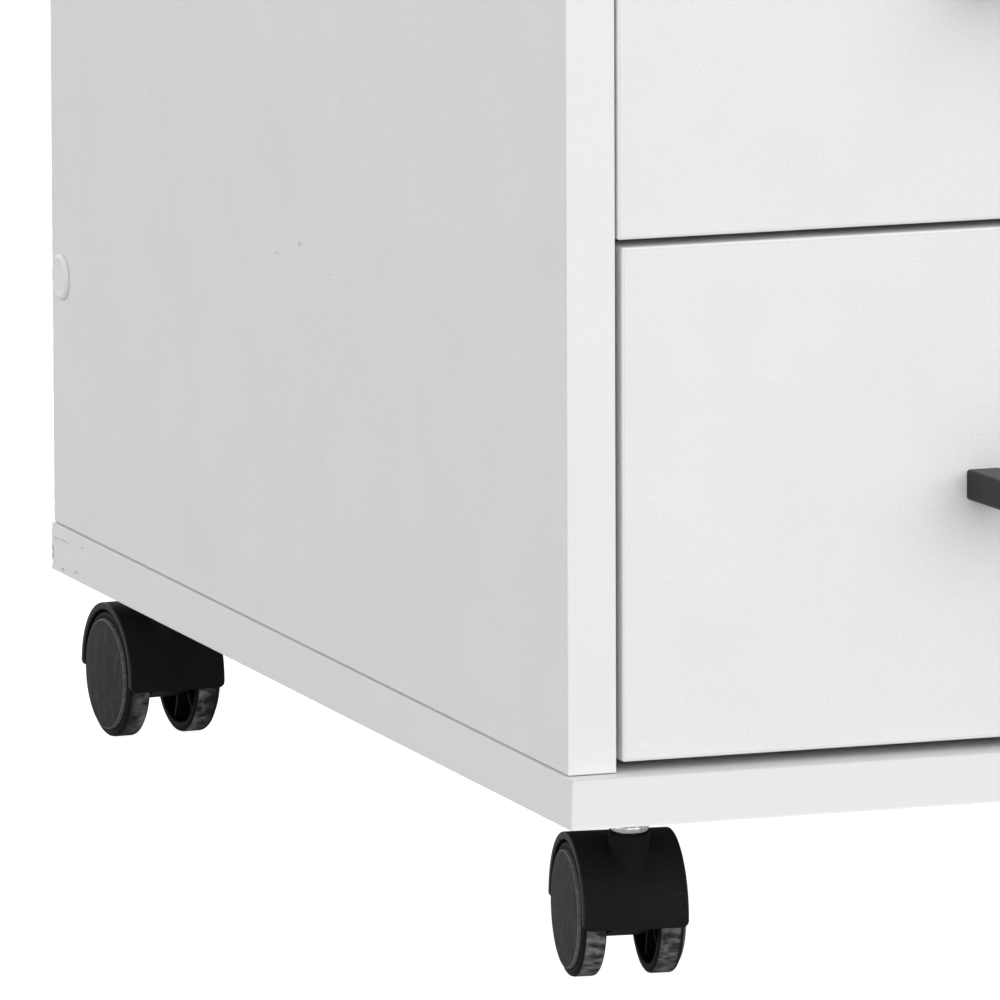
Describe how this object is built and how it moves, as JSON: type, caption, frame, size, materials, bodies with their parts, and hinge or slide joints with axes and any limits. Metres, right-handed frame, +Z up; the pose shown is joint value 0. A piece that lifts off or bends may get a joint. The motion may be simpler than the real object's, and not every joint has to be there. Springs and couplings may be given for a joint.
{
  "type": "mobile drawer pedestal",
  "caption": "White laminated-board mobile pedestal cabinet with inset drawers, black bow handles and hooded twin-wheel casters.",
  "frame": {"origin": "on the floor, under the middle of the whole pedestal, handles and casters included", "axes": "+Z up, +X to the right as seen from the front, the drawers open towards -Y"},
  "size_m": [0.3886, 0.5252, 0.548],
  "materials": {
    "laminate": "satin white melamine laminate on particle board",
    "hardboard": "white-faced thin hardboard",
    "handle_metal": "matte black powder coat",
    "runner_metal": "white epoxy coated steel",
    "cap_plastic": "smooth white plastic",
    "caster_nylon": "black nylon, fine spark texture",
    "wheel_nylon": "dark nylon, dusty on the tread",
    "zinc": "bright zinc plate"
  },
  "bodies": {
    "cabinet": {"back_panel": "laminate", "base_panel": "laminate", "bottom_left_cabinet_runner": "runner_metal", "bottom_right_cabinet_runner": "runner_metal", "front_left_caster_stem": "zinc", "front_right_caster_stem": "zinc", "left_side_panel": "laminate", "lower_left_screw_cap": "cap_plastic", "lower_right_screw_cap": "cap_plastic", "middle_left_cabinet_runner": "runner_metal", "middle_right_cabinet_runner": "runner_metal", "rear_left_caster_stem": "zinc", "rear_right_caster_stem": "zinc", "right_side_panel": "laminate", "top_left_cabinet_runner": "runner_metal", "top_panel": "laminate", "top_right_cabinet_runner": "runner_metal", "upper_left_screw_cap": "cap_plastic", "upper_right_screw_cap": "cap_plastic"},
    "bottom_drawer": {"bottom_box_back": "laminate", "bottom_box_bottom": "hardboard", "bottom_box_left_side": "laminate", "bottom_box_right_side": "laminate", "bottom_drawer_front": "laminate", "bottom_drawer_handle": "handle_metal", "bottom_left_drawer_runner": "runner_metal", "bottom_right_drawer_runner": "runner_metal"},
    "middle_drawer": {"middle_box_back": "laminate", "middle_box_bottom": "hardboard", "middle_box_left_side": "laminate", "middle_box_right_side": "laminate", "middle_drawer_front": "laminate", "middle_drawer_handle": "handle_metal", "middle_left_drawer_runner": "runner_metal", "middle_right_drawer_runner": "runner_metal"},
    "top_drawer": {"top_box_back": "laminate", "top_box_bottom": "hardboard", "top_box_left_side": "laminate", "top_box_right_side": "laminate", "top_drawer_front": "laminate", "top_drawer_handle": "handle_metal", "top_left_drawer_runner": "runner_metal", "top_right_drawer_runner": "runner_metal"},
    "front_left_caster": {"front_left_caster_hood": "caster_nylon", "front_left_caster_axle": "zinc"},
    "front_left_caster_left_wheel": {"front_left_caster_left_wheel": "wheel_nylon"},
    "front_left_caster_right_wheel": {"front_left_caster_right_wheel": "wheel_nylon"},
    "front_right_caster": {"front_right_caster_hood": "caster_nylon", "front_right_caster_axle": "zinc"},
    "front_right_caster_left_wheel": {"front_right_caster_left_wheel": "wheel_nylon"},
    "front_right_caster_right_wheel": {"front_right_caster_right_wheel": "wheel_nylon"},
    "rear_left_caster": {"rear_left_caster_hood": "caster_nylon", "rear_left_caster_axle": "zinc"},
    "rear_left_caster_left_wheel": {"rear_left_caster_left_wheel": "wheel_nylon"},
    "rear_left_caster_right_wheel": {"rear_left_caster_right_wheel": "wheel_nylon"},
    "rear_right_caster": {"rear_right_caster_hood": "caster_nylon", "rear_right_caster_axle": "zinc"},
    "rear_right_caster_left_wheel": {"rear_right_caster_left_wheel": "wheel_nylon"},
    "rear_right_caster_right_wheel": {"rear_right_caster_right_wheel": "wheel_nylon"}
  },
  "joints": [
    {"name": "bottom_drawer_slide", "type": "slide", "parent": "cabinet", "child": "bottom_drawer", "axis": [0, -1, 0], "range_m": [0, 0.3]},
    {"name": "middle_drawer_slide", "type": "slide", "parent": "cabinet", "child": "middle_drawer", "axis": [0, -1, 0], "range_m": [0, 0.3]},
    {"name": "top_drawer_slide", "type": "slide", "parent": "cabinet", "child": "top_drawer", "axis": [0, -1, 0], "range_m": [0, 0.3]},
    {"name": "front_left_caster_swivel", "type": "hinge", "parent": "cabinet", "child": "front_left_caster", "pos_m": [-0.1635, -0.20506, 0.03], "axis": [0, 0, 1], "continuous": true},
    {"name": "front_left_caster_left_wheel_spin", "type": "hinge", "parent": "front_left_caster", "child": "front_left_caster_left_wheel", "pos_m": [-0.162, -0.19165, 0.02], "axis": [0.9938, -0.1115, 0], "continuous": true},
    {"name": "front_left_caster_right_wheel_spin", "type": "hinge", "parent": "front_left_caster", "child": "front_left_caster_right_wheel", "pos_m": [-0.162, -0.19165, 0.02], "axis": [0.9938, -0.1115, 0], "continuous": true},
    {"name": "front_right_caster_swivel", "type": "hinge", "parent": "cabinet", "child": "front_right_caster", "pos_m": [0.1635, -0.20506, 0.03], "axis": [0, 0, 1], "continuous": true},
    {"name": "front_right_caster_left_wheel_spin", "type": "hinge", "parent": "front_right_caster", "child": "front_right_caster_left_wheel", "pos_m": [0.16256, -0.19159, 0.02], "axis": [0.9976, 0.0698, 0], "continuous": true},
    {"name": "front_right_caster_right_wheel_spin", "type": "hinge", "parent": "front_right_caster", "child": "front_right_caster_right_wheel", "pos_m": [0.16256, -0.19159, 0.02], "axis": [0.9976, 0.0698, 0], "continuous": true},
    {"name": "rear_left_caster_swivel", "type": "hinge", "parent": "cabinet", "child": "rear_left_caster", "pos_m": [-0.1635, 0.22544, 0.03], "axis": [0, 0, 1], "continuous": true},
    {"name": "rear_left_caster_left_wheel_spin", "type": "hinge", "parent": "rear_left_caster", "child": "rear_left_caster_left_wheel", "pos_m": [-0.16397, 0.23893, 0.02], "axis": [0.9994, 0.0349, 0], "continuous": true},
    {"name": "rear_left_caster_right_wheel_spin", "type": "hinge", "parent": "rear_left_caster", "child": "rear_left_caster_right_wheel", "pos_m": [-0.16397, 0.23893, 0.02], "axis": [0.9994, 0.0349, 0], "continuous": true},
    {"name": "rear_right_caster_swivel", "type": "hinge", "parent": "cabinet", "child": "rear_right_caster", "pos_m": [0.1635, 0.22544, 0.03], "axis": [0, 0, 1], "continuous": true},
    {"name": "rear_right_caster_left_wheel_spin", "type": "hinge", "parent": "rear_right_caster", "child": "rear_right_caster_left_wheel", "pos_m": [0.16421, 0.23892, 0.02], "axis": [0.9986, -0.0523, 0], "continuous": true},
    {"name": "rear_right_caster_right_wheel_spin", "type": "hinge", "parent": "rear_right_caster", "child": "rear_right_caster_right_wheel", "pos_m": [0.16421, 0.23892, 0.02], "axis": [0.9986, -0.0523, 0], "continuous": true}
  ]
}
